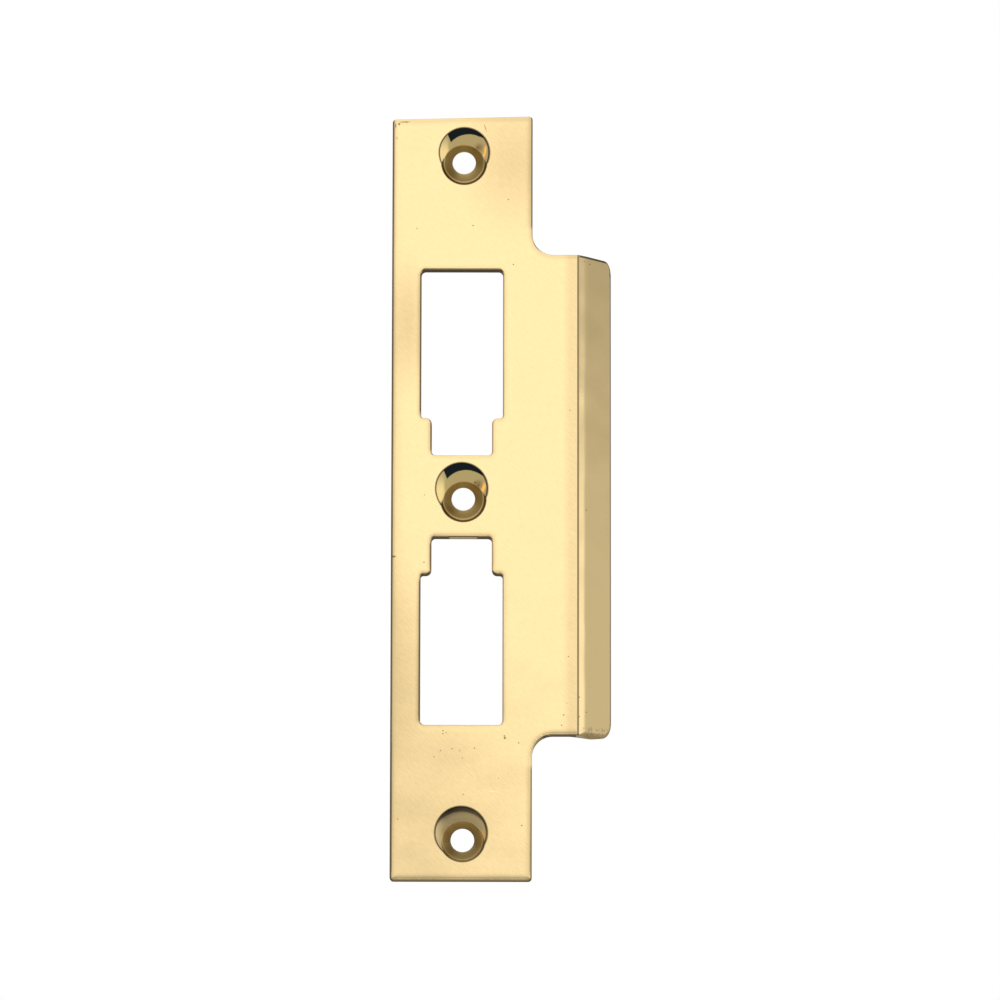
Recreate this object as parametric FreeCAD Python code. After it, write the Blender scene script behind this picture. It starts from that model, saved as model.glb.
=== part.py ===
import FreeCAD, Part
import math
import os

from FreeCAD import Vector

# Door strike plate: one piece of brass plate, folded, pierced and countersunk. Millimetres.
# Frame: origin on the back face at the middle of the plate, +Z up the plate as fitted,
# +X towards the lip, and -Y out of the polished face, towards the door.

# Plate
plate_length = 150.0
plate_width = 27.5
plate_thickness = 3.5
plate_corner_radius = 0.7
top_slant = 0.65
face_edge_radius = 0.3

# Shoulder that stands out beside the plate and carries the lip
shoulder_width = 8.7
shoulder_radius = 4.0

# Lip, folded back from the shoulder: a crisp crease, a gentle sweep, then flat to a round nose
lip_end_margin = 2.5
lip_shift = 0.5
lip_projection = 6.8
lip_angle = 55.0
lip_sweep_angle = 11.0
lip_sweep_radius = 15.0
crease_radius = 0.6
lip_inner_radius = 1.2
lip_corner_radius = 3.0
lip_nose_radius = 1.4
lip_foot_radius = 1.1

# Stepped openings for the latch and the bolt, one above and one below the middle screw
bridge_height = 16.1
opening_width = 16.0
opening_height = 29.4
opening_corner_radius = 0.9
neck_height = 7.3
neck_step = 2.1
neck_corner_radius = 0.8
step_outer_radius = 0.6
step_inner_radius = 1.1

# Countersunk screw holes, each with a shallow dish where a second, wider tool drifted, mostly upwards
screw_hole_diameter = 4.6
screw_end_margin = 8.25
screw_row_shift = -0.25
screw_row_offset = 0.3
countersink_diameter = 8.8
countersink_angle = 82.0
countersink_rim_radius = 0.45
dish_depths = {"top": 1.5, "middle": 1.5, "bottom": 1.2}
dish_diameters = {"top": 10.0, "middle": 10.3, "bottom": 10.4}
dish_drifts = {
    "top": Vector(0.05, 0, 1.6),
    "middle": Vector(-0.3, 0, 1.75),
    "bottom": Vector(-0.25, 0, 1.3),
}

# How far a cutting solid runs past the surface that it cuts
cutter_overrun = 1.0

# Places that follow from the sizes above
front_y = -plate_thickness
side_x = plate_width / 2
end_z = plate_length / 2
fold_x = side_x + shoulder_width
neck_end_z = bridge_height / 2
step_z = neck_end_z + neck_height
opening_end_z = step_z + opening_height
lip_top_z = lip_shift + opening_end_z + lip_end_margin
lip_bottom_z = lip_shift - opening_end_z - lip_end_margin
screw_reach = end_z - screw_end_margin
screw_heights = {
    "top": screw_row_shift + screw_reach,
    "middle": screw_row_shift,
    "bottom": screw_row_shift - screw_reach,
}

# Roundings, held to the walls that they run along
through = Vector(0, 1, 0)
upward = Vector(0, 0, 1)
edge_round = min(face_edge_radius, 0.8 * plate_corner_radius)
nose_round = min(lip_nose_radius, 0.8 * plate_thickness)
foot_round = min(lip_foot_radius, 0.8 * plate_thickness)


def bend_end(start, radius, angle_from, angle_to):
    """Where a bend ends that starts at a point and turns back from one angle to the other."""
    a = math.radians(angle_from)
    b = math.radians(angle_to)
    return start + Vector(math.sin(b) - math.sin(a), math.cos(a) - math.cos(b), 0) * radius


def bend(start, radius, angle_from, angle_to):
    middle = bend_end(start, radius, angle_from, (angle_from + angle_to) / 2)
    return Part.Arc(start, middle, bend_end(start, radius, angle_from, angle_to)).toShape()


def line(start, end):
    return Part.LineSegment(start, end).toShape()


class LipSection:
    """Corner points of the section across shoulder and lip, seen along the plate."""

    crease_angle = lip_angle - lip_sweep_angle
    turn = math.radians(lip_angle)
    along = Vector(math.cos(turn), math.sin(turn), 0)
    inward = Vector(-math.sin(turn), math.cos(turn), 0)

    face_start = Vector(0, front_y, 0)
    crease_start = Vector(fold_x, front_y, 0)
    crease_end = bend_end(crease_start, crease_radius, 0, crease_angle)
    sweep_end = bend_end(crease_end, lip_sweep_radius, crease_angle, lip_angle)

    # the corner under the round nose stands a little past the lip's reach
    nose_corner_x = fold_x + lip_projection + nose_round * (along.x + along.y - 1)
    flat_length = (nose_corner_x - sweep_end.x) / along.x
    tip_front = sweep_end + along * flat_length
    tip_back = tip_front + inward * plate_thickness

    inner_corner = tip_back - along * (tip_back.y / along.y)
    inner_tangent = lip_inner_radius * math.tan(turn / 2)
    inner_start = inner_corner - Vector(inner_tangent, 0, 0)
    inner_end = inner_corner + along * inner_tangent
    back_start = Vector(0, 0, 0)

    @classmethod
    def face(cls):
        edges = [
            line(cls.face_start, cls.crease_start),
            bend(cls.crease_start, crease_radius, 0, cls.crease_angle),
            bend(cls.crease_end, lip_sweep_radius, cls.crease_angle, lip_angle),
            line(cls.sweep_end, cls.tip_front),
            line(cls.tip_front, cls.tip_back),
            line(cls.tip_back, cls.inner_end),
            bend(cls.inner_start, lip_inner_radius, 0, lip_angle),
            line(cls.inner_start, cls.back_start),
            line(cls.back_start, cls.face_start),
        ]
        return Part.Face(Part.Wire(Part.__sortEdges__(edges)))


def runs_along(edge, direction):
    if not isinstance(edge.Curve, Part.Line):
        return False
    return abs(abs(edge.Curve.Direction.dot(direction)) - 1) < 1e-6


def same(a, b):
    return abs(a - b) < 1e-6


def fillet_where(shape, radius, wanted):
    return shape.makeFillet(radius, [edge for edge in shape.Edges if wanted(edge)])


def blank():
    """Plate, shoulder and lip with their corners rounded in the flat, before any cutting."""
    corners = [
        Vector(-side_x, front_y, -end_z),
        Vector(side_x, front_y, -end_z),
        Vector(side_x, front_y, end_z + top_slant / 2),
        Vector(-side_x, front_y, end_z - top_slant / 2),
    ]
    plate = Part.Face(Part.makePolygon(corners + corners[:1])).extrude(through * plate_thickness)
    wing = LipSection.face().extrude(upward * (lip_top_z - lip_bottom_z))
    wing.translate(upward * lip_bottom_z)
    shape = plate.fuse(wing).removeSplitter()

    def at_end(edge):
        return abs(edge.CenterOfMass.z) > end_z - top_slant

    def is_plate_corner(edge):
        return runs_along(edge, through) and at_end(edge)

    def is_shoulder_corner(edge):
        return runs_along(edge, through) and same(edge.CenterOfMass.x, side_x) and not at_end(edge)

    def is_lip_corner(edge):
        return runs_along(edge, LipSection.inward)

    lip_corner = min(lip_corner_radius, 0.9 * LipSection.flat_length)
    shape = fillet_where(shape, plate_corner_radius, is_plate_corner)
    shape = fillet_where(shape, shoulder_radius, is_shoulder_corner)
    return fillet_where(shape, lip_corner, is_lip_corner)


def opening_cutter(side):
    """One stepped opening, wide end away from the middle screw; side is 1 above and -1 below."""
    wide = opening_width / 2
    narrow = wide - neck_step
    corners = {
        (wide, opening_end_z): opening_corner_radius,
        (wide, step_z): min(step_outer_radius, 0.35 * neck_step),
        (narrow, step_z): min(step_inner_radius, 0.55 * neck_step),
        (narrow, neck_end_z): neck_corner_radius,
    }
    right = [Vector(x, front_y - cutter_overrun, side * z) for x, z in corners]
    left = [Vector(-p.x, p.y, p.z) for p in reversed(right)]
    outline = Part.makePolygon(right + left + right[:1])
    cutter = Part.Face(outline).extrude(through * (plate_thickness + 2 * cutter_overrun))
    for (x, z), radius in corners.items():
        def is_corner(edge, x=x, z=side * z):
            place = edge.CenterOfMass
            return runs_along(edge, through) and same(abs(place.x), x) and same(place.z, z)
        cutter = fillet_where(cutter, radius, is_corner)
    return cutter


def screw_hole_cutter(name):
    """The clearance hole with its countersink, and the dish that the wider tool left above it."""
    z = screw_heights[name]
    slope = math.tan(math.radians(countersink_angle / 2))
    hole_radius = screw_hole_diameter / 2
    mouth_radius = countersink_diameter / 2
    depth = (mouth_radius - hole_radius) / slope
    outside = Vector(screw_row_offset, front_y - cutter_overrun, z)
    hole = Part.makeCylinder(hole_radius, plate_thickness + 2 * cutter_overrun, outside, through)
    countersink = Part.makeCone(mouth_radius + cutter_overrun * slope, hole_radius,
                                depth + cutter_overrun, outside, through)
    dish_mouth_radius = dish_diameters[name] / 2
    dish_depth = dish_depths[name]
    dish_radius = (dish_mouth_radius ** 2 + dish_depth ** 2) / (2 * dish_depth)
    dish_centre = Vector(screw_row_offset, front_y + dish_depth - dish_radius, z) + dish_drifts[name]
    return hole.fuse([countersink, Part.makeSphere(dish_radius, dish_centre)])


def is_countersink_rim(edge):
    """Whether an edge on the face is the mouth of a countersink or of its dish."""
    mouths = [countersink_diameter / 2] + [diameter / 2 for diameter in dish_diameters.values()]
    return isinstance(edge.Curve, Part.Circle) and any(same(edge.Curve.Radius, mouth) for mouth in mouths)


def round_polished_edges(shape):
    """Breaks the edges of the polished side; nose and foot of the lip are fuller and blend in."""
    flat_middle = (LipSection.sweep_end + LipSection.tip_front) / 2 - LipSection.along
    lip_rounds = [
        (flat_middle + upward * lip_top_z, edge_round),
        (flat_middle + upward * lip_bottom_z, foot_round),
        (LipSection.tip_front + upward * lip_shift, nose_round),
    ]

    def radius_of(edge):
        on_face = all(same(vertex.Y, front_y) for vertex in edge.Vertexes)
        is_fold_line = runs_along(edge, upward) and same(edge.CenterOfMass.x, fold_x)
        if on_face and is_countersink_rim(edge):
            return countersink_rim_radius
        if on_face and not is_fold_line:
            return edge_round
        for place, radius in lip_rounds:
            if edge.distToShape(Part.Vertex(place))[0] < 1e-6:
                return radius
        return None

    document = FreeCAD.newDocument()
    sharp = document.addObject("Part::Feature", "sharp")
    sharp.Shape = shape
    rounded = document.addObject("Part::Fillet", "rounded")
    rounded.Base = sharp
    radii = [(number, radius_of(edge)) for number, edge in enumerate(shape.Edges, 1)]
    rounded.Edges = [(number, radius, radius) for number, radius in radii if radius]
    document.recompute()
    return rounded.Shape.copy()


def strike_plate():
    shape = blank()
    for side in (1, -1):
        shape = shape.cut(opening_cutter(side))
    for name in screw_heights:
        shape = shape.cut(screw_hole_cutter(name))
    shape = round_polished_edges(shape)
    return shape.removeSplitter()


def main():
    os.makedirs("parts", exist_ok=True)
    shape = strike_plate()
    print("solids", len(shape.Solids), "valid", shape.isValid(), "volume", round(shape.Volume, 1))
    shape.exportStep("parts/strike_plate.step")


main()
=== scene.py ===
import math

import bmesh
import bpy
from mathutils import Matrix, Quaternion, Vector
from mathutils.kdtree import KDTree


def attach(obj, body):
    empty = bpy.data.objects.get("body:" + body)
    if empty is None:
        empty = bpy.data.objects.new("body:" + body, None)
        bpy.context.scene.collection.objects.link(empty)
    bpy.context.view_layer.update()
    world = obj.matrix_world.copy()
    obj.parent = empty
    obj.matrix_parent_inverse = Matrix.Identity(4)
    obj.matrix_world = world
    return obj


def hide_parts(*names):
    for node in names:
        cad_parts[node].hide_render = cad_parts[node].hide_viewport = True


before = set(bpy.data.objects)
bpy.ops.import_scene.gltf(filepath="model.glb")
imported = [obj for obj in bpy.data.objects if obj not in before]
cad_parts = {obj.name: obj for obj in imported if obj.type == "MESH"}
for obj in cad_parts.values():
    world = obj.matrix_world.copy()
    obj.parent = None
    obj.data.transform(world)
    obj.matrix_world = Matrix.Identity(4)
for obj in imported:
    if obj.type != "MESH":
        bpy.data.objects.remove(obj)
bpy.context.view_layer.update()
print("frame loaded:", sorted(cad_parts))


def addNode(tree, kind, inputs=None, **settings):
    node = tree.nodes.new(kind)
    for name, value in settings.items():
        setattr(node, name, value)
    for name, value in (inputs or {}).items():
        if isinstance(value, bpy.types.NodeSocket):
            tree.links.new(value, node.inputs[name])
        else:
            node.inputs[name].default_value = value
    return node


def calculate(tree, operation, first, second=0.0, clamp=False):
    settings = {"operation": operation, "use_clamp": clamp}
    return addNode(tree, "ShaderNodeMath", {0: first, 1: second}, **settings).outputs[0]


def minus(tree, first, second):
    return calculate(tree, "SUBTRACT", first, second)


def larger(tree, first, second):
    return calculate(tree, "MAXIMUM", first, second)


def times(tree, first, *others):
    for other in others:
        first = calculate(tree, "MULTIPLY", first, other)
    return first


def vectorValue(tree, operation, first, second=(0, 0, 0)):
    inputs = {0: first, 1: second}
    return addNode(tree, "ShaderNodeVectorMath", inputs, operation=operation).outputs["Value"]


def remap(tree, value, start, end, low=0.0, high=1.0):
    inputs = {"Value": value, "From Min": start, "From Max": end, "To Min": low, "To Max": high}
    return addNode(tree, "ShaderNodeMapRange", inputs, interpolation_type="SMOOTHSTEP").outputs["Result"]


def within(tree, *limits):
    return times(tree, *[remap(tree, value, *limit) for value, limit in limits])


def noise(tree, vector, scale, detail):
    inputs = {"Vector": vector, "Scale": scale, "Detail": detail}
    return addNode(tree, "ShaderNodeTexNoise", inputs).outputs["Fac"]


def mixColours(tree, factor, first, second):
    return addNode(tree, "ShaderNodeMix", {0: factor, 6: first, 7: second}, data_type="RGBA").outputs[2]


def blendValue(tree, factor, first, second):
    return addNode(tree, "ShaderNodeMix", {0: factor, 2: first, 3: second}, data_type="FLOAT").outputs[0]


def grey(level, tint=(1.0, 1.0, 1.0)):
    return tuple(level * part for part in tint) + (1.0,)


# A dome of soft panels round the plate. A panel is its level, its tint and its edges,
# and an edge is an axis, where the panel starts along it and where it is full.
studio = {
    "backdrop": 1.0,
    "ambient": 0.36,
    "cool": (0.97, 1.0, 1.05),
    "warm": (1.0, 0.68, 0.36),
    "night": (0.5, 0.9, 2.6),
    "panels": {
        "under": (0.02, "night", [((0, 0, 1), -0.10, -0.30), ((0, 1, 0), 0.25, 0.0)]),
        "straightDown": (0.70, "cool", [((0, 0, 1), -0.90, -0.98)]),
        "ceiling": (1.15, "cool", [((0, 0, 1), 0.35, 0.60)]),
        "rearTop": (1.0, "cool", [((0, 0, 1), 0.12, 0.35), ((0, 1, 0), 0.10, 0.40)]),
        "lipTop": (0.03, "cool", [((0.45, 0.74, 0.50), 0.86, 0.92)]),
        "rightTop": (0.06, "cool", [((1, 0, 0), 0.45, 0.60), ((0, 0, 1), 0.28, 0.40),
                                    ((0, 1, 0), 0.15, -0.05)]),
        "left": (0.40, "cool", [((-1, 0, 0), 0.30, 0.50), ((0, 0, 1), -0.42, -0.12),
                                ((0, 0, 1), 0.60, 0.35)]),
        "cameraSide": (0.50, "cool", [((-0.155, -0.939, 0.306), 0.567, 0.587)]),
        "lamp": (1.2, "warm", [((0.545, -0.839, 0), 0.0, 0.06), ((-0.643, 0.766, 0), -0.02, 0.05),
                               ((0, 0, 1), -0.14, 0.04), ((0, 0, 1), 0.46, 0.26)]),
        "frontTop": (1.15, "cool", [((0, 0, 1), 0.17, 0.30), ((0, -1, 0), 0.25, 0.50),
                                    ((1, 0, 0), 0.5, 0.3), ((-1, 0, 0), 0.5, 0.3)]),
        "rightWash": (0.52, "cool", [((0.7645, 0.3728, 0.5267), -0.012, 0.012), ((0, 0, 1), 0.32, 0.22),
                                     ((0, 1, 0), 0.55, 0.35)]),
        "right": (1.05, "cool", [((1, 0, 0), 0.60, 0.72), ((0, 0, 1), -0.60, 0.26),
                                 ((-0.153, 0.489, 0.859), 0.30, 0.10), ((0, 1, 0), 0.40, 0.08)]),
        "strip": (0.62, "cool", [((1, 0, 0), 0.930, 0.965), ((0, 1, 0), -0.25, -0.10)]),
        "stripLow": (1.22, "cool", [((1, 0, 0), 0.930, 0.965), ((0, 1, 0), -0.25, -0.10),
                                    ((0, 0, 1), 0.175, 0.11)]),
        "lipSide": (0.49, "cool", [((0.94, 0.342, 0.1), 0.984, 1.005)]),
        "lipSideLow": (0.68, "cool", [((0.94, 0.342, 0.1), 0.984, 1.005), ((0, 0, 1), 0.18, 0.12)]),
        "front": (1.08, "cool", [((0, -1, 0), 0.92, 0.97), ((0, 0, 1), -0.03, 0.04)]),
        "frontCore": (1.36, "cool", [((0, -0.988, 0.155), 0.993, 0.9990)]),
    },
}


def makeStudio():
    world = bpy.data.worlds.new("softStudio")
    bpy.context.scene.world = world
    world.use_nodes = True
    tree = world.node_tree
    tree.nodes.clear()
    direction = addNode(tree, "ShaderNodeTexCoord").outputs["Generated"]
    light = grey(studio["ambient"], studio["cool"])
    for level, tint, edges in studio["panels"].values():
        leans = [(vectorValue(tree, "DOT_PRODUCT", direction, axis), limit) for axis, *limit in edges]
        light = mixColours(tree, within(tree, *leans), light, grey(level, studio[tint]))
    seen = addNode(tree, "ShaderNodeLightPath").outputs["Is Camera Ray"]
    light = mixColours(tree, seen, light, grey(studio["backdrop"]))   # the camera sees plain white
    shine = addNode(tree, "ShaderNodeBackground", {"Color": light})
    output = addNode(tree, "ShaderNodeOutputWorld")
    tree.links.new(shine.outputs[0], output.inputs["Surface"])
    bpy.context.scene.view_settings.view_transform = "Standard"
    print("studio:", len(studio["panels"]), "panels")


camera = {
    "aim": (0.00747, -0.0035, -0.00077),
    "distance": 1.15,
    "below": 7.5,     # degrees under the level of the plate
    "roll": 0.11,
    "sensor": 36.0,
    "lens": 212.4,
}


def makeCamera():
    data = bpy.data.cameras.new("photoCamera")
    data.sensor_width = camera["sensor"]
    data.lens = camera["lens"]
    placed = bpy.data.objects.new("photoCamera", data)
    bpy.context.collection.objects.link(placed)
    low = math.radians(camera["below"])
    away = Vector((0.0, -math.cos(low), -math.sin(low)))
    placed.location = Vector(camera["aim"]) + away * camera["distance"]
    placed.rotation_mode = "QUATERNION"
    turn = (-away).to_track_quat("-Z", "Y")
    placed.rotation_quaternion = turn @ Quaternion((0, 0, 1), math.radians(camera["roll"]))
    bpy.context.scene.camera = placed
    print("camera at", [round(c, 4) for c in placed.location])


floor = {
    "level": -0.17,
    "size": 8.0,
    "colour": (0.86, 0.86, 0.85, 1.0),
    "roughness": 0.9,
}


def makeFloor():
    bm = bmesh.new()
    bmesh.ops.create_grid(bm, x_segments=1, y_segments=1, size=floor["size"] / 2)
    bmesh.ops.translate(bm, verts=bm.verts, vec=(0, 0, floor["level"]))
    mesh = bpy.data.meshes.new("floor")
    bm.to_mesh(mesh)
    bm.free()
    paper = bpy.data.materials.new("paper")
    paper.use_nodes = True
    shader = paper.node_tree.nodes["Principled BSDF"]
    shader.inputs["Base Color"].default_value = floor["colour"]
    shader.inputs["Roughness"].default_value = floor["roughness"]
    mesh.materials.append(paper)
    placed = bpy.data.objects.new("floor", mesh)
    placed.visible_glossy = False
    bpy.context.collection.objects.link(placed)
    print("floor at", floor["level"])


# Sizes of the solid that material and mesh both follow, in millimetres.
# A screw is its x, its z and how far the lower half of its countersink is stretched.
plate = {
    "faceY": -3.5,
    "screws": [(0.3, 66.5, 0.46), (0.3, -0.25, 0.46), (0.3, -67.0, 0.0)],
    "screwHole": 2.3,
    "screwMouth": 4.4,
    "perMetre": 1000,
}

# The material works in millimetres: across is x, up is z, depth is measured back from the face.
# Limits in the dictionaries below are start and full, or start, full and the values there.
brass = {
    "colour": (0.905, 0.672, 0.328, 1.0),
    "grazing": (0.93, 0.80, 0.58, 1.0),
    "dullAndShade": (0.652, 0.475, 0.225, 1.0),      # where the polish has gone, and painted shade on the face
    "wall": (0.42, 0.32, 0.17, 1.0),         # metal left by punch and shear
    "ground": (0.42, 0.32, 0.17, 1.0),
    "cone": (0.56, 0.425, 0.185, 1.0),       # metal left dark by the countersink tool, deepened with painted shade in the recess
    "dish": (0.90, 0.675, 0.275, 1.0),
    "lowCone": (0.51, 0.395, 0.19, 1.0),     # beside the lowest hole, tool finish deepened with painted shade towards the hole
    "lowDish": (0.86, 0.625, 0.29, 1.0),
    "tarnish": (0.50, 0.30, 0.11, 1.0),
    # warm painted highlight in the countersinks
    "amberHighlight": (1.0, 0.62, 0.20, 1.0),
    "glint": (1.0, 0.84, 0.50, 1.0),
    "shade": (0.12, 0.09, 0.048, 1.0),
    # grime in pits and scratches, and painted shade along edges, countersink rims and the lip's top
    "dirtAndShade": (0.10, 0.075, 0.04, 1.0),
}


def readPlace(tree):
    metres = addNode(tree, "ShaderNodeTexCoord").outputs["Object"]
    scale = (plate["perMetre"],) * 3
    place = addNode(tree, "ShaderNodeMapping", {"Vector": metres, "Scale": scale}).outputs[0]
    across, back, up = addNode(tree, "ShaderNodeSeparateXYZ", {0: place}).outputs
    flatten = {0: place, 1: (1, 0, 1)}
    flat = addNode(tree, "ShaderNodeVectorMath", flatten, operation="MULTIPLY").outputs[0]
    depth = minus(tree, back, plate["faceY"])
    return {"place": place, "flat": flat, "across": across, "up": up, "depth": depth}


def ellipse(tree, at, x, z, wide, tall, turn=0.0, soft=1.0):
    inputs = {"Vector": at["flat"], "Location": (x, 0, z), "Scale": (wide, 1, tall)}
    inputs["Rotation"] = (0, math.radians(turn), 0)
    local = addNode(tree, "ShaderNodeMapping", inputs, vector_type="TEXTURE").outputs[0]
    return remap(tree, vectorValue(tree, "LENGTH", local), 1.0, 1.0 - soft)


# Countersinks and dishes. Reach is the distance from the nearest screw's axis.
sinkLook = {
    "farOff": 1000.0,
    "coneSlope": 1.1504,
    "coneOff": (0.11, 0.05),
    "coneReach": (4.55, 4.4),
    "holeReach": (2.36, 2.32),
    "nearReach": (7.9, 7.7),
    "nearDepth": (3.3, 3.1),
    "dishDepth": (0.06, 0.14),
    "lowestUp": (-55.0, -58.0),
    "lowReach": (2.6, 5.6),
    # painted highlights: a bright line round the countersink, and a warm gold line where the dish meets it
    "coneLine": [(3.70, 3.80), (4.06, 3.98)],
    "coneLineUp": (-66.0, -63.0, 0.45, 0.9),
    "dishLine": [(0.08, 0.14), (0.30, 0.22)],
    "dishLineReach": (4.3, 4.1),
    "dishLineUp": (-58.0, -55.0, 0.15, 0.9),
    # painted shade on the rims, wider on the right
    "coneRimShade": (4.00, 4.14),
    "coneRimUp": (-58.0, -55.0, 0.5, 0.9),
    "rim": [(0.045, 0.075), (0.17, 0.12)],
    "rightRim": [(0.05, 0.09), (0.24, 0.18)],
    "rightAcross": (2.4, 4.2),
    "rimShadeStrength": 0.92,
    # dark crescent at the top of the lowest dish
    "crescentCentre": (0.05, 0, -67.1),
    "crescentReach": (5.25, 5.75),
    "crescentUp": (-66.6, -65.6),
    "crescentStrength": 0.8,
    # tarnish spots and one warm painted highlight: x, z, half width, half height, tone, strength
    "tarnishAndHighlights": [(3.2, 69.2, 1.3, 1.3, "tarnish", 0.9), (3.2, 2.45, 1.3, 1.3, "tarnish", 0.9),
               (4.4, -66.0, 0.8, 1.7, "amberHighlight", 0.8), (-2.9, -66.0, 1.3, 2.0, "tarnish", 0.8)],
}


def screwReach(tree, at):
    reach = sinkLook["farOff"]
    for x, z, stretch in plate["screws"]:
        away = vectorValue(tree, "DISTANCE", at["flat"], (x, 0, z))
        below = calculate(tree, "DIVIDE", minus(tree, z, at["up"]), away, clamp=True)
        slope = plate["screwMouth"] + stretch - plate["screwHole"]
        ramp = calculate(tree, "DIVIDE", minus(tree, away, plate["screwHole"]), slope, clamp=True)
        reach = calculate(tree, "MINIMUM", minus(tree, away, times(tree, below, ramp, stretch)), reach)
    return reach


def findSinks(tree, at):
    reach = screwReach(tree, at)
    coneDepth = times(tree, minus(tree, plate["screwMouth"], reach), sinkLook["coneSlope"])
    offCone = calculate(tree, "ABSOLUTE", minus(tree, at["depth"], coneDepth))
    onCone = within(tree, (offCone, sinkLook["coneOff"]), (reach, sinkLook["coneReach"]))
    at["reach"] = reach
    at["offCone"] = offCone
    at["onCone"] = larger(tree, onCone, remap(tree, reach, *sinkLook["holeReach"]))
    at["nearScrew"] = within(tree, (reach, sinkLook["nearReach"]), (at["depth"], sinkLook["nearDepth"]))
    at["inDish"] = times(tree, remap(tree, at["depth"], *sinkLook["dishDepth"]), at["nearScrew"])
    at["lowest"] = remap(tree, at["up"], *sinkLook["lowestUp"])


def sinkRimShade(tree, at):
    rim = within(tree, *[(at["depth"], limit) for limit in sinkLook["rim"]])
    right = within(tree, *[(at["depth"], limit) for limit in sinkLook["rightRim"]])
    right = times(tree, right, remap(tree, at["across"], *sinkLook["rightAcross"]))
    return times(tree, larger(tree, rim, right), at["nearScrew"], sinkLook["rimShadeStrength"])


def paintSinks(tree, at, colour):
    reach, up, inDish, onCone, lowest = (at[name] for name in ("reach", "up", "inDish", "onCone", "lowest"))
    low = mixColours(tree, remap(tree, reach, *sinkLook["lowReach"]), brass["lowCone"], brass["lowDish"])
    colour = mixColours(tree, inDish, colour, mixColours(tree, lowest, brass["dish"], low))
    # the countersink keeps the tool's darker finish, deepened with painted shade
    colour = mixColours(tree, onCone, colour, mixColours(tree, lowest, brass["cone"], low))
    # painted highlights round the countersink and where the dish meets it
    coneLine = within(tree, *[(reach, limit) for limit in sinkLook["coneLine"]],
                      (up, sinkLook["coneLineUp"]))
    colour = mixColours(tree, times(tree, coneLine, onCone), colour, brass["glint"])
    dishLine = within(tree, *[(at["offCone"], limit) for limit in sinkLook["dishLine"]],
                      (reach, sinkLook["dishLineReach"]), (up, sinkLook["dishLineUp"]))
    colour = mixColours(tree, times(tree, dishLine, inDish), colour, brass["amberHighlight"])
    # painted shade on the countersink rims, on the cone and along the mouth
    coneRimShade = within(tree, (reach, sinkLook["coneRimShade"]), (up, sinkLook["coneRimUp"]))
    colour = mixColours(tree, times(tree, coneRimShade, onCone), colour, brass["dirtAndShade"])
    colour = mixColours(tree, sinkRimShade(tree, at), colour, brass["dirtAndShade"])
    away = vectorValue(tree, "DISTANCE", at["flat"], sinkLook["crescentCentre"])
    crescent = within(tree, (away, sinkLook["crescentReach"]), (up, sinkLook["crescentUp"]))
    crescent = times(tree, crescent, inDish, lowest, sinkLook["crescentStrength"])
    colour = mixColours(tree, crescent, colour, brass["shade"])
    # tarnish spots, and one warm painted highlight in the lowest dish
    for x, z, wide, tall, tone, strength in sinkLook["tarnishAndHighlights"]:
        spot = times(tree, ellipse(tree, at, x, z, wide, tall), inDish, strength)
        colour = mixColours(tree, spot, colour, brass[tone])
    return colour


# Painted shade over the face in slow changes of tone, faint grain, and painted shade along the edges that
# the buff has rolled over.
faceLook = {
    # patches of painted shade: x, z, half width, half height, strength
    "shadedPatches": [(-10, -60, 32, 48, 0.55), (-12, -32, 8, 28, 0.60), (-10.5, 34, 5, 18, 0.75),
               (10, 66, 14, 18, 0.65), (-13.5, 0, 3, 90, 0.35)],
    "creaseStrip": [(19.4, 21.3), (22.6, 22.4)],
    "creaseShade": 0.5,
    "grainTurn": 45,
    "grainSize": (1.5, 1, 0.34),
    "grainDetail": 3.0,
    "grainTone": (0.3, 0.7, -0.05, 0.07),
    # side and x of the edge, lowest and highest |z|, width of the painted shade band, strength and width of
    # the painted dark line
    "edges": [(-1, -8.0, 16.3, 44.0, 1.2, 0.8, 0.36), (-1, -5.9, 9.0, 14.6, 1.2, 0.8, 0.36),
              (1, -13.75, -9, 80, 1.0, 0.75, 0.50), (-1, 13.75, 53, 80, 1.7, 0.7, 0.36)],
    "lowFade": 0.7,
    "highFade": 0.5,
    "outside": -0.05,     # past the edge by more than this, nothing is painted
    "pushAway": 99,
    "bandFull": 0.2,
    "bandShade": 0.5,
}


def findGrain(tree, at):
    slant = (0, math.radians(faceLook["grainTurn"]), 0)
    inputs = {"Vector": at["flat"], "Rotation": slant, "Scale": faceLook["grainSize"]}
    strokes = addNode(tree, "ShaderNodeMapping", inputs, vector_type="TEXTURE").outputs[0]
    at["grain"] = noise(tree, strokes, 1.0, faceLook["grainDetail"])


def faceDullnessAndShade(tree, at):
    dullnessAndShade = 0.0
    # darker patches and the strip beside the crease are painted shade; the grain is the metal's own tone
    for x, z, wide, tall, strength in faceLook["shadedPatches"]:
        stain = times(tree, ellipse(tree, at, x, z, wide, tall), strength)
        dullnessAndShade = calculate(tree, "ADD", stain, dullnessAndShade, clamp=True)
    crease = within(tree, *[(at["across"], limit) for limit in faceLook["creaseStrip"]])
    dullnessAndShade = larger(tree, times(tree, crease, faceLook["creaseShade"]), dullnessAndShade)
    return calculate(tree, "ADD", remap(tree, at["grain"], *faceLook["grainTone"]), dullnessAndShade, clamp=True)


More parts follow.
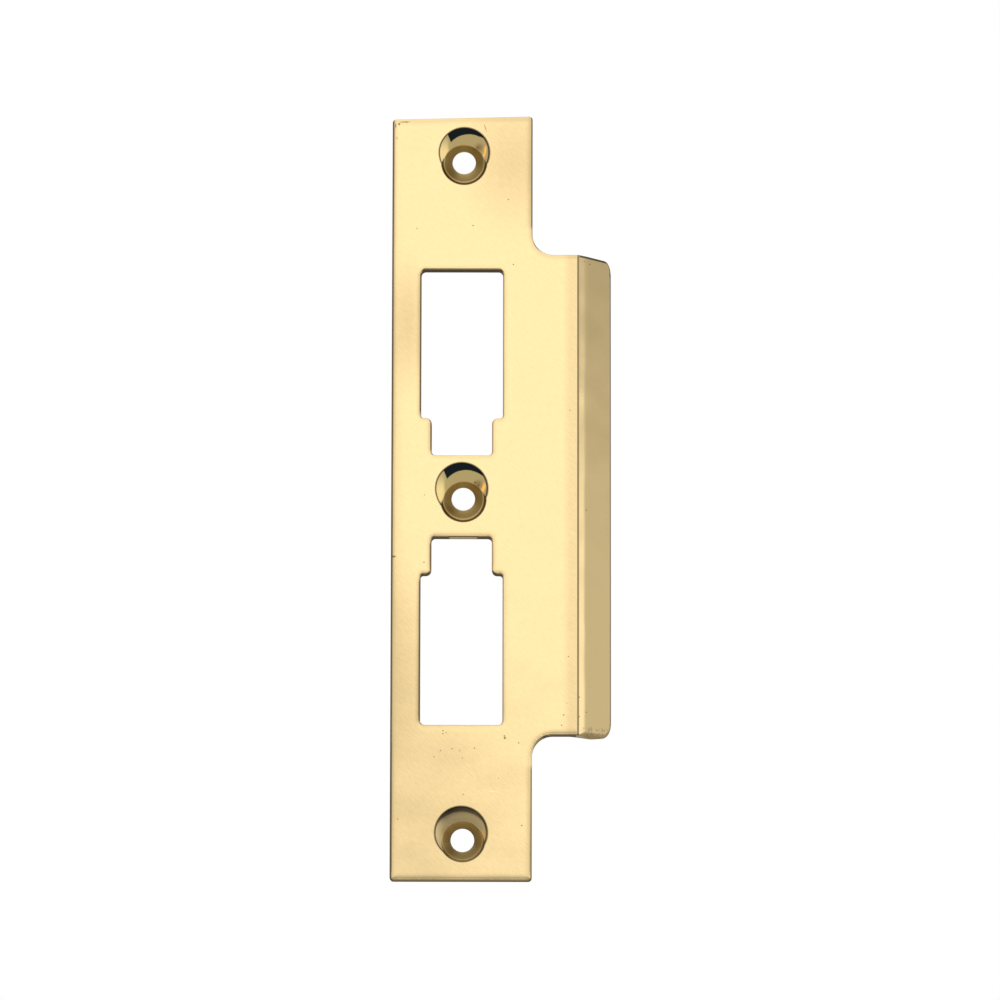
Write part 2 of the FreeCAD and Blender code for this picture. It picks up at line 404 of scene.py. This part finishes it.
def faceColour(tree, at):
    dullnessAndShade = faceDullnessAndShade(tree, at)
    height = calculate(tree, "ABSOLUTE", at["up"])
    lowFade, highFade = faceLook["lowFade"], faceLook["highFade"]
    edgeShadeLine = 0.0
    # painted shade: a darker band and a dark line along each rolled edge
    for side, x, low, high, band, strength, width in faceLook["edges"]:
        ends = [(low - lowFade, low + lowFade), (high + highFade, high - highFade)]
        span = within(tree, *[(height, limit) for limit in ends])
        inward = times(tree, minus(tree, at["across"], x), side)
        outside = calculate(tree, "LESS_THAN", inward, faceLook["outside"])
        inward = calculate(tree, "ADD", inward, times(tree, outside, faceLook["pushAway"]))
        rolled = times(tree, remap(tree, inward, band, faceLook["bandFull"]), span, faceLook["bandShade"])
        dullnessAndShade = calculate(tree, "ADD", rolled, dullnessAndShade, clamp=True)
        line = times(tree, remap(tree, inward, width, width / 2), span, strength)
        edgeShadeLine = larger(tree, line, edgeShadeLine)
    colour = mixColours(tree, dullnessAndShade, brass["colour"], brass["dullAndShade"])
    return mixColours(tree, edgeShadeLine, colour, brass["dirtAndShade"])


# Walls left by punch and shear: not on the lip, in the screw holes or on the back.
wallLook = {
    "depth": (0.22, 0.36),
    "across": (22.5, 22.2),
    "reach": (7.7, 7.9),
    "back": (3.49, 3.44),
    # z of a wall that faces down, limits at its left and its right
    "undersides": [(-75.0, (-14.7, -14.4), (14.6, 14.3)), (-46.75, (13.8, 14.1), (22.5, 22.2)),
                   (-15.35, (-8.5, -8.2), (8.4, 8.1)), (-8.05, (-6.4, -6.1), (6.3, 6.0)),
                   (44.75, (-8.5, -8.2), (8.4, 8.1))],
    "underOff": (0.6, 0.3),
    "underDepth": (0.08, 0.20),
}


def paintWalls(tree, at, colour):
    across, depth = at["across"], at["depth"]
    at["wall"] = within(tree, (depth, wallLook["depth"]), (across, wallLook["across"]),
                        (at["reach"], wallLook["reach"]), (depth, wallLook["back"]))
    colour = mixColours(tree, at["wall"], colour, brass["wall"])
    under = 0.0
    for z, left, right in wallLook["undersides"]:
        off = calculate(tree, "ABSOLUTE", minus(tree, at["up"], z))
        near = within(tree, (off, wallLook["underOff"]), (across, left), (across, right))
        under = larger(tree, near, under)
    behind = within(tree, (depth, wallLook["underDepth"]), (depth, wallLook["back"]))
    return mixColours(tree, times(tree, under, behind), colour, brass["shade"])


# Painted shade along the crease and in the dark line along the lip's top, and the foot, left as it was
# ground.
lipLook = {
    "creaseX": 22.72,
    "creaseOff": (0.22, 0.10),
    "creaseDepth": (0.6, 0.5),
    "creaseStrength": 0.75,
    "topUp": (47.20, 47.37, 0.0, 0.92),
    "topAcross": (22.8, 23.2),
    "raggedScale": 0.9,
    "raggedDetail": 4.0,
    "raggedRise": (0.3, 0.7, -0.9, 0.9),
    "footUp": (-45.2, -45.7),
    "footAcross": (23.2, 24.6),
    "gritScale": 1.7,
    "gritDetail": 5.0,
    "gritTone": (0.44, 0.60),
    "gritStrength": 0.6,
}


def paintLip(tree, at, colour):
    across, up = at["across"], at["up"]
    offCrease = calculate(tree, "ABSOLUTE", minus(tree, across, lipLook["creaseX"]))
    crease = within(tree, (offCrease, lipLook["creaseOff"]), (at["depth"], lipLook["creaseDepth"]))
    colour = mixColours(tree, times(tree, crease, lipLook["creaseStrength"]), colour, brass["shade"])
    # painted shade: a dark line along the lip's top
    topShadeLine = within(tree, (up, lipLook["topUp"]), (across, lipLook["topAcross"]))
    colour = mixColours(tree, topShadeLine, colour, brass["dirtAndShade"])
    ragged = noise(tree, at["place"], lipLook["raggedScale"], lipLook["raggedDetail"])
    footUp = calculate(tree, "ADD", up, remap(tree, ragged, *lipLook["raggedRise"]))
    at["foot"] = within(tree, (footUp, lipLook["footUp"]), (across, lipLook["footAcross"]))
    grit = noise(tree, at["place"], lipLook["gritScale"], lipLook["gritDetail"])
    ground = times(tree, at["foot"], remap(tree, grit, *lipLook["gritTone"]), lipLook["gritStrength"])
    return mixColours(tree, ground, colour, brass["ground"])


markLook = {
    # x, z, radius
    "pits": [(2.1, 53.5, 0.20), (-8.9, 52.9, 0.16), (10.0, 45.8, 0.20), (9.0, 58.7, 0.18),
             (-7.2, 0.2, 0.15), (21.1, 16.9, 0.14), (24.3, -2.5, 0.17), (-7.3, -13.0, 0.2),
             (20.8, -31.4, 0.17), (19.9, -42.8, 0.2), (8.5, -47.3, 0.33), (8.4, -46.9, 0.2),
             (11.2, -48.25, 0.19), (2.6, -49.3, 0.18), (-1.7, -49.4, 0.16), (-0.3, -49.8, 0.14),
             (-4.0, -49.8, 0.16), (-5.2, -51.0, 0.15), (-12.2, -63.1, 0.17), (11.8, -64.3, 0.2),
             (-3.5, -45.9, 0.18), (-3.5, -46.5, 0.18), (-2.9, -46.3, 0.14), (0.3, -51.2, 0.13),
             (0.45, -58.3, 0.16), (7.3, -55.2, 0.11), (22.95, -39.3, 0.17), (24.3, -42.1, 0.16),
             (22.95, -43.1, 0.16), (19.5, -44.8, 0.17), (20.6, -40.5, 0.10), (-12.5, 73.7, 0.3),
             (-11.0, 74.1, 0.2), (2.6, 2.8, 0.25), (3.3, 2.2, 0.2), (2.9, 69.3, 0.2),
             (23.9, 46.6, 0.13), (25.0, 46.3, 0.16)],
    "pitSoft": 0.6,
    # x, z, half width, half height, turn in degrees
    "scratches": [(4.45, 73.0, 0.10, 1.2, -18), (-13.2, -11.9, 0.6, 0.28, 0), (-11.4, 74.15, 1.5, 0.13, -3),
                  (-13.15, 73.4, 0.16, 0.7, 0), (-12.9, 70.9, 0.10, 0.5, 0)],
    "scratchSoft": 0.7,
    "depth": (3.4, 3.0, 0.0, 0.8),
    "paleScratch": (6.2, -57.7, 2.0, 0.14, 8),
    "paleSoft": 0.8,
    "paleDepth": (0.1, 0.05, 0.0, 0.5),
}


def paintMarks(tree, at, colour):
    marks = 0.0
    for x, z, size in markLook["pits"]:
        marks = larger(tree, ellipse(tree, at, x, z, size, size, soft=markLook["pitSoft"]), marks)
    for scratch in markLook["scratches"]:
        marks = larger(tree, ellipse(tree, at, *scratch, markLook["scratchSoft"]), marks)
    marks = times(tree, marks, remap(tree, at["depth"], *markLook["depth"]))
    colour = mixColours(tree, marks, colour, brass["dirtAndShade"])
    pale = ellipse(tree, at, *markLook["paleScratch"], markLook["paleSoft"])
    pale = times(tree, pale, remap(tree, at["depth"], *markLook["paleDepth"]))
    return mixColours(tree, pale, colour, brass["glint"])


# Roughness of each surface, and the gentle unevenness that polishing leaves.
sheen = {
    "face": (0.3, 0.7, 0.12, 0.145),          # along the grain's noise
    "lip": 0.12,
    "lipAcross": (22.4, 22.8),
    "wall": 0.45,
    "dish": (-50.0, -55.0, 0.045, 0.27),      # the lowest dish is less polished
    "cone": 0.32,
    "foot": 0.40,
    "swellScale": 0.09,
    "swellDetail": 1.0,
    "swellHeight": 0.00012,
}


def findRoughness(tree, at):
    roughness = remap(tree, at["grain"], *sheen["face"])
    roughness = blendValue(tree, remap(tree, at["across"], *sheen["lipAcross"]), roughness, sheen["lip"])
    roughness = blendValue(tree, at["wall"], roughness, sheen["wall"])
    roughness = blendValue(tree, at["inDish"], roughness, remap(tree, at["up"], *sheen["dish"]))
    roughness = blendValue(tree, at["onCone"], roughness, sheen["cone"])
    return blendValue(tree, at["foot"], roughness, sheen["foot"])


def brassMaterial():
    material = bpy.data.materials.new("polishedBrass")
    material.use_nodes = True
    tree = material.node_tree
    shader = tree.nodes["Principled BSDF"]
    shader.inputs["Metallic"].default_value = 1.0
    shader.inputs["Specular Tint"].default_value = brass["grazing"]
    at = readPlace(tree)
    findSinks(tree, at)
    findGrain(tree, at)
    colour = faceColour(tree, at)
    colour = paintWalls(tree, at, colour)
    colour = paintSinks(tree, at, colour)
    colour = paintLip(tree, at, colour)
    colour = paintMarks(tree, at, colour)
    swell = noise(tree, at["place"], sheen["swellScale"], sheen["swellDetail"])
    bump = {"Strength": 1.0, "Distance": sheen["swellHeight"], "Height": swell}
    tree.links.new(colour, shader.inputs["Base Color"])
    tree.links.new(findRoughness(tree, at), shader.inputs["Roughness"])
    tree.links.new(addNode(tree, "ShaderNodeBump", bump).outputs[0], shader.inputs["Normal"])
    print("brass:", len(tree.nodes), "nodes")
    return material


def inMetres(values):
    return [value / plate["perMetre"] for value in values]


# Buffing rolls the face over towards its edges. Metres; columns and rows are where the face is cut finer.
buff = {
    "backY": -0.0009,           # what lies behind this isn't stretched
    "creaseX": 0.02245,
    "edgeRadius": 0.0003,
    "width": 0.0014,
    "drop": 0.000035,
    "sample": 0.00005,
    "columns": [-0.01375, -0.0080, -0.0059, 0.0059, 0.0080, 0.01375],
    "rows": [-0.075, -0.04675, -0.04475, -0.01535, -0.00805, 0.00805, 0.01535, 0.04475, 0.04775, 0.075],
    "insets": [0.0003, 0.0005, 0.0008, 0.0012, 0.0016],
    "screwReach": 0.0074,
    "weld": 1e-6,
    "slack": 1e-5,
    "towardsMiddle": 0.05,      # a corner's normal is read a little inside its face
}
faceY, screwHole, screwMouth = inMetres([plate["faceY"], plate["screwHole"], plate["screwMouth"]])
screws = [inMetres(screw) for screw in plate["screws"]]


def onFace(face):
    return all(abs(vert.co.y - faceY) < buff["weld"] for vert in face.verts)


def cutPlaces(edges):
    return [edge + side * inset for edge in edges for inset in buff["insets"] for side in (-1, 1)]


def cutFace(bm):
    cuts = [((x, 0, 0), (1, 0, 0)) for x in cutPlaces(buff["columns"])]
    cuts += [((0, 0, z), (0, 0, 1)) for z in cutPlaces(buff["rows"])]
    faces = [face for face in bm.faces if onFace(face)]
    edges = {edge for face in faces for edge in face.edges}
    verts = {vert for face in faces for vert in face.verts}
    geom = faces + list(edges) + list(verts)
    for place, direction in cuts:
        cut = bmesh.ops.bisect_plane(bm, geom=geom, dist=buff["weld"], plane_co=place, plane_no=direction)
        geom = cut["geom"]


def faceRim(bm):
    points = []
    for edge in bm.edges:
        flat = [face for face in edge.link_faces if onFace(face)]
        first, last = (vert.co for vert in edge.verts)
        onCrease = min(first.x, last.x) > buff["creaseX"] - buff["slack"]
        toScrew = min(math.hypot(first.x - x, first.z - z) for x, z, stretch in screws)
        if len(flat) == 1 and not onCrease and toScrew >= buff["screwReach"]:
            count = max(1, round((last - first).length / buff["sample"]))
            points += [first.lerp(last, step / count) for step in range(count + 1)]
    rim = KDTree(len(points))
    for number, point in enumerate(points):
        rim.insert(point, number)
    rim.balance()
    return rim


def insideShare(distance):
    return max(0.0, 1 - distance / buff["width"])


def faceNormal(rim, point):
    nearest, number, distance = rim.find(point)
    lean = 3 * buff["drop"] / buff["width"] * insideShare(distance) ** 2   # slope of the cubic roll
    outwards = (nearest - point).normalized() * lean
    return Vector((outwards.x, -1.0, outwards.z)).normalized()


def leanNormals(bm, rim):
    cadNormal = bm.loops.layers.float_vector["cadNormal"]
    for face in bm.faces:
        if onFace(face):
            middle = face.calc_center_median()
            for loop in face.loops:
                point = loop.vert.co.lerp(middle, buff["towardsMiddle"])
                loop[cadNormal] = faceNormal(rim, point)


def rollFace(bm, rim):
    for vert in bm.verts:
        depth = vert.co.y - faceY
        distance = rim.find(vert.co)[2] if depth < buff["weld"] else 0.0
        roll = buff["drop"] * insideShare(distance) ** 3
        vert.co.y += roll * max(0.0, 1 - depth / buff["edgeRadius"])


def stretchSinks(bm):
    far = buff["screwReach"]
    for x, z, stretch in screws:
        for vert in bm.verts:
            side = Vector((vert.co.x - x, 0.0, vert.co.z - z))
            reach = side.length
            if screwHole < reach < far and side.z < 0 and vert.co.y < buff["backY"]:
                rise = (reach - screwHole) / (screwMouth - screwHole)
                ramp = min(rise, (far - reach) / (far - screwMouth), 1.0)
                vert.co += side / reach * (stretch * ramp * -side.z / reach)


def buffPlate():
    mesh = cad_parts["strike_plate"].data.copy()
    mesh.name = "buffedPlate"
    kept = mesh.attributes.new("cadNormal", "FLOAT_VECTOR", "CORNER")
    kept.data.foreach_set("vector", [part for normal in mesh.corner_normals for part in normal.vector])
    bm = bmesh.new()
    bm.from_mesh(mesh)
    bmesh.ops.remove_doubles(bm, verts=bm.verts, dist=buff["weld"])
    cutFace(bm)
    bmesh.ops.dissolve_degenerate(bm, edges=bm.edges, dist=buff["weld"])
    rim = faceRim(bm)
    leanNormals(bm, rim)
    rollFace(bm, rim)
    stretchSinks(bm)
    bm.to_mesh(mesh)
    bm.free()
    mesh.polygons.foreach_set("use_smooth", [True] * len(mesh.polygons))
    mesh.normals_split_custom_set([tuple(corner.vector) for corner in mesh.attributes["cadNormal"].data])
    mesh.materials.clear()
    mesh.materials.append(brassMaterial())
    piece = bpy.data.objects.new("buffedPlate", mesh)
    bpy.context.collection.objects.link(piece)
    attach(piece, "root")
    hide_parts("strike_plate")
    print("plate buffed:", len(mesh.polygons), "faces")


makeStudio()
makeCamera()
makeFloor()
buffPlate()
